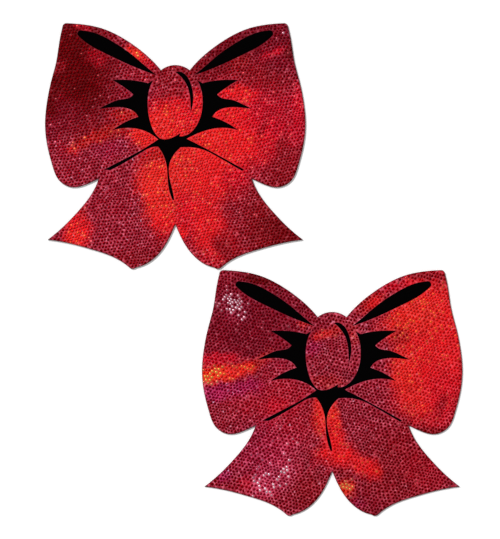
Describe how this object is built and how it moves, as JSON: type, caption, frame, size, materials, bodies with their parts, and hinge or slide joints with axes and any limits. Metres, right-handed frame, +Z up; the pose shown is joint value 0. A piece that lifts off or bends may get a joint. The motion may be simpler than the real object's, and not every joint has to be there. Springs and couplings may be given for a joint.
{
  "type": "flat stick-on gift bow pair",
  "caption": "Matched flat stick-on gift bows, die cut from red foil-dotted cloth with black fold lines and a peel-off liner.",
  "frame": {"origin": "middle of the pair's box, on the plane that the liners lie on", "axes": "+Z up out of the faces, +Y from the tails to the loops, +X to the right of a bow seen face on"},
  "size_m": [0.1216, 0.1436, 0.0009],
  "materials": {
    "face_cloth": "red stretch knit with a soft sheen",
    "foil": "glossy red holographic foil dots that shift to orange and crimson",
    "black_print": "matte black print",
    "backing_cloth": "plain woven interlining, dyed red",
    "adhesive": "clear soft pressure-sensitive adhesive film",
    "release_paper": "white silicone-coated paper with a low sheen"
  },
  "bodies": {
    "left_liner": {"left_bow_release_liner": "release_paper"},
    "left_bow": {"left_bow_adhesive": "adhesive", "left_bow_backing_cloth": "backing_cloth", "left_bow_face_cloth": "face_cloth", "left_bow_foil_dots": "foil", "left_bow_print_left_loop": "black_print", "left_bow_print_right_loop": "black_print", "left_bow_print_knot_crease": "black_print", "left_bow_print_fold_shadow": "black_print"},
    "right_liner": {"right_bow_release_liner": "release_paper"},
    "right_bow": {"right_bow_adhesive": "adhesive", "right_bow_backing_cloth": "backing_cloth", "right_bow_face_cloth": "face_cloth", "right_bow_foil_dots": "foil", "right_bow_print_left_loop": "black_print", "right_bow_print_right_loop": "black_print", "right_bow_print_knot_crease": "black_print", "right_bow_print_fold_shadow": "black_print"}
  },
  "joints": [
    {"name": "left_bow_peel", "type": "hinge", "parent": "left_liner", "child": "left_bow", "pos_m": [-0.02285, 0.07176, 0.00088], "axis": [-1, 0, 0], "range_deg": [0, 90]},
    {"name": "right_bow_shift", "type": "slide", "parent": "left_liner", "child": "right_liner", "axis": [-1, 0, 0], "range_m": [0, 0.0457]},
    {"name": "right_bow_peel", "type": "hinge", "parent": "right_liner", "child": "right_bow", "pos_m": [0.02285, -0.00016, 0.00088], "axis": [-1, 0, 0], "range_deg": [0, 90]}
  ]
}
